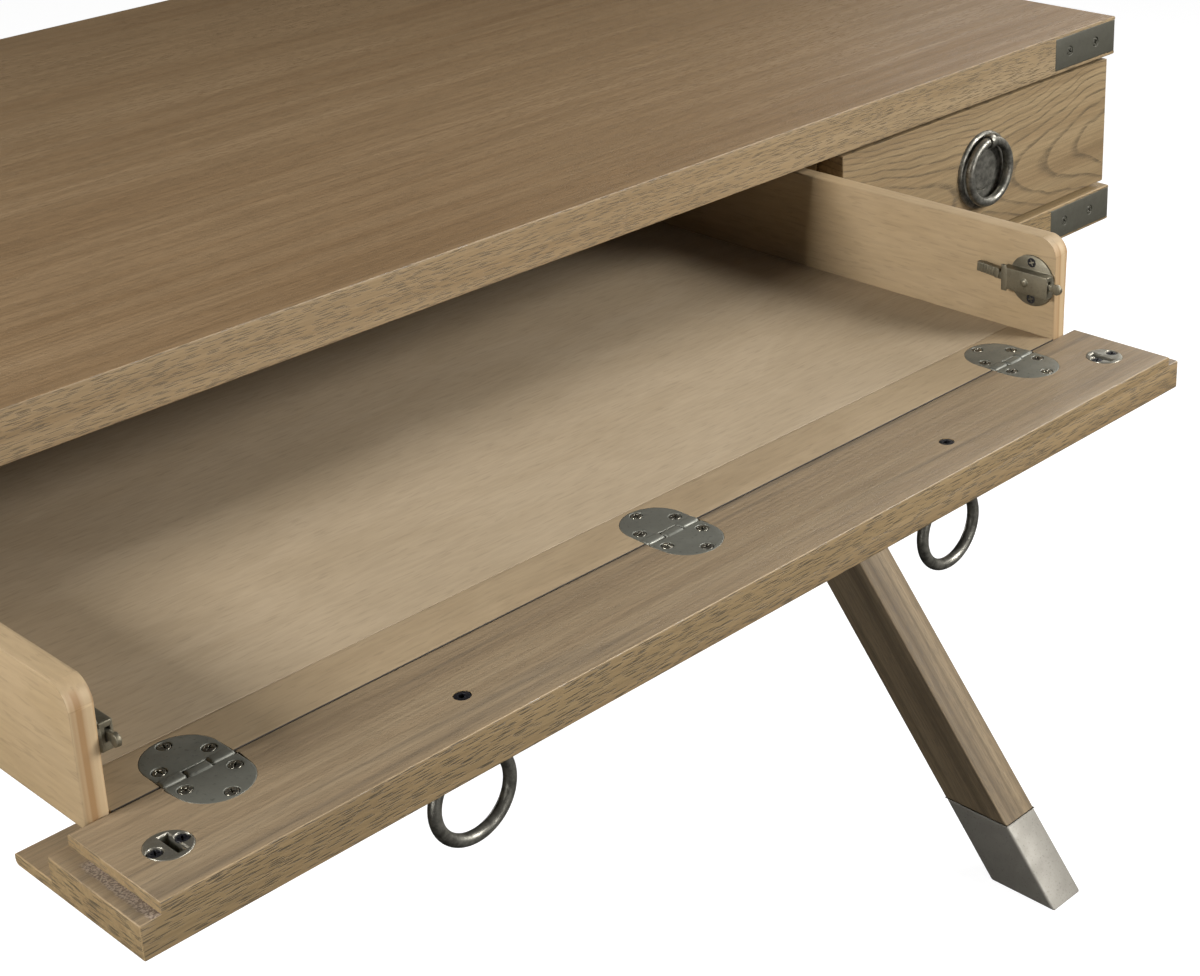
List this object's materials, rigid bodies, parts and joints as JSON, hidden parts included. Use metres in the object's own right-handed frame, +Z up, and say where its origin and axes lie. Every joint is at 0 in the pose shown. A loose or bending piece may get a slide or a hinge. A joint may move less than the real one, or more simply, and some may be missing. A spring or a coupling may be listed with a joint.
{
  "type": "writing desk",
  "caption": "Campaign writing desk on crossed legs, with metal corners, ring-pull drawers and a centre drawer whose front folds down flat.",
  "frame": {"origin": "on the floor, under the middle of the box around the desk with the centre drawer out and its front folded down", "axes": "+X to the right of a person sitting at the desk, +Y to the back, +Z up"},
  "size_m": [1.372, 0.9296, 0.788],
  "materials": {
    "oak_top": "weathered grey-brown oak, dull satin",
    "oak": "weathered grey-brown oak, dull satin",
    "birch": "pale smooth birch, satin",
    "pewter": "matte grey-green pewter finish",
    "antique_metal": "antique pewter, burnished high spots",
    "dark_bolt": "black oxide",
    "nickel": "nickel plate",
    "hinge_steel": "satin grey steel"
  },
  "bodies": {
    "case": {"desk_top": "oak_top", "lower_board": "oak", "back_panel": "oak", "top_corner_brackets": "pewter", "lower_corner_brackets": "pewter", "bracket_screws": "hinge_steel", "side_runners": "birch", "leg_bolts": "dark_bolt", "end_panel_left": "oak", "end_panel_right": "oak", "partition_left": "oak", "partition_right": "oak", "centre_rail_left": "birch", "centre_rail_right": "birch", "leg_cleat_left": "oak", "leg_cleat_right": "oak", "leg_front_foot_left": "oak", "leg_front_foot_right": "oak", "leg_back_foot_left": "oak", "leg_back_foot_right": "oak", "ferrule_front_left": "pewter", "ferrule_front_right": "pewter", "ferrule_back_left": "pewter", "ferrule_back_right": "pewter"},
    "centre_drawer": {"drawer_side_left": "birch", "drawer_side_right": "birch", "drawer_back": "birch", "drawer_bottom": "birch", "drawer_rail": "birch", "rail_hinge_leaves": "hinge_steel", "hinge_pins": "hinge_steel", "drawer_screws": "hinge_steel", "catch_plates": "hinge_steel", "catch_covers": "hinge_steel"},
    "drop_front": {"drop_front_board": "oak", "front_hinge_leaves": "hinge_steel", "front_screws": "hinge_steel", "strike_plates": "nickel", "centre_pull_dishes": "antique_metal", "centre_pull_bolts": "dark_bolt"},
    "centre_ring_left": {"centre_ring_left": "antique_metal"},
    "catch_lever_left": {"catch_lever_left": "hinge_steel"},
    "left_drawer": {"left_drawer_front": "oak", "left_drawer_sides": "birch", "left_drawer_bottom": "birch", "left_drawer_back": "birch", "left_drawer_pull_dish": "antique_metal", "left_drawer_pull_bolt": "dark_bolt"},
    "left_ring": {"left_drawer_ring": "antique_metal"},
    "centre_ring_right": {"centre_ring_right": "antique_metal"},
    "catch_lever_right": {"catch_lever_right": "hinge_steel"},
    "right_drawer": {"right_drawer_front": "oak", "right_drawer_sides": "birch", "right_drawer_bottom": "birch", "right_drawer_back": "birch", "right_drawer_pull_dish": "antique_metal", "right_drawer_pull_bolt": "dark_bolt"},
    "right_ring": {"right_drawer_ring": "antique_metal"}
  },
  "joints": [
    {"name": "centre_drawer_slide", "type": "slide", "parent": "case", "child": "centre_drawer", "axis": [0, -1, 0], "range_m": [-0.223, 0.12]},
    {"name": "drop_front_hinge", "type": "hinge", "parent": "centre_drawer", "child": "drop_front", "pos_m": [0, -0.39526, 0.6855], "axis": [-1, 0, 0], "range_deg": [0, 90]},
    {"name": "centre_ring_left_pivot", "type": "hinge", "parent": "drop_front", "child": "centre_ring_left", "pos_m": [-0.178, -0.43851, 0.656], "axis": [1, 0, 0], "range_deg": [-8, 90]},
    {"name": "catch_lever_left_pivot", "type": "hinge", "parent": "centre_drawer", "child": "catch_lever_left", "pos_m": [-0.3327, -0.37706, 0.7205], "axis": [-1, 0, 0], "range_deg": [0, 5], "stiffness_Nm_per_rad": 0.05, "springref_deg": -5.73},
    {"name": "left_drawer_slide", "type": "slide", "parent": "case", "child": "left_drawer", "axis": [0, -1, 0], "range_m": [0, 0.36]},
    {"name": "left_ring_pivot", "type": "hinge", "parent": "left_drawer", "child": "left_ring", "pos_m": [-0.5269, -0.20176, 0.72875], "axis": [-1, 0, 0], "range_deg": [0, 98]},
    {"name": "centre_ring_right_pivot", "type": "hinge", "parent": "drop_front", "child": "centre_ring_right", "pos_m": [0.178, -0.43851, 0.656], "axis": [1, 0, 0], "range_deg": [-8, 90]},
    {"name": "catch_lever_right_pivot", "type": "hinge", "parent": "centre_drawer", "child": "catch_lever_right", "pos_m": [0.3327, -0.37706, 0.7205], "axis": [-1, 0, 0], "range_deg": [0, 5], "stiffness_Nm_per_rad": 0.05, "springref_deg": -5.73},
    {"name": "right_drawer_slide", "type": "slide", "parent": "case", "child": "right_drawer", "axis": [0, -1, 0], "range_m": [0, 0.36]},
    {"name": "right_ring_pivot", "type": "hinge", "parent": "right_drawer", "child": "right_ring", "pos_m": [0.5269, -0.20176, 0.72875], "axis": [-1, 0, 0], "range_deg": [0, 98]}
  ]
}
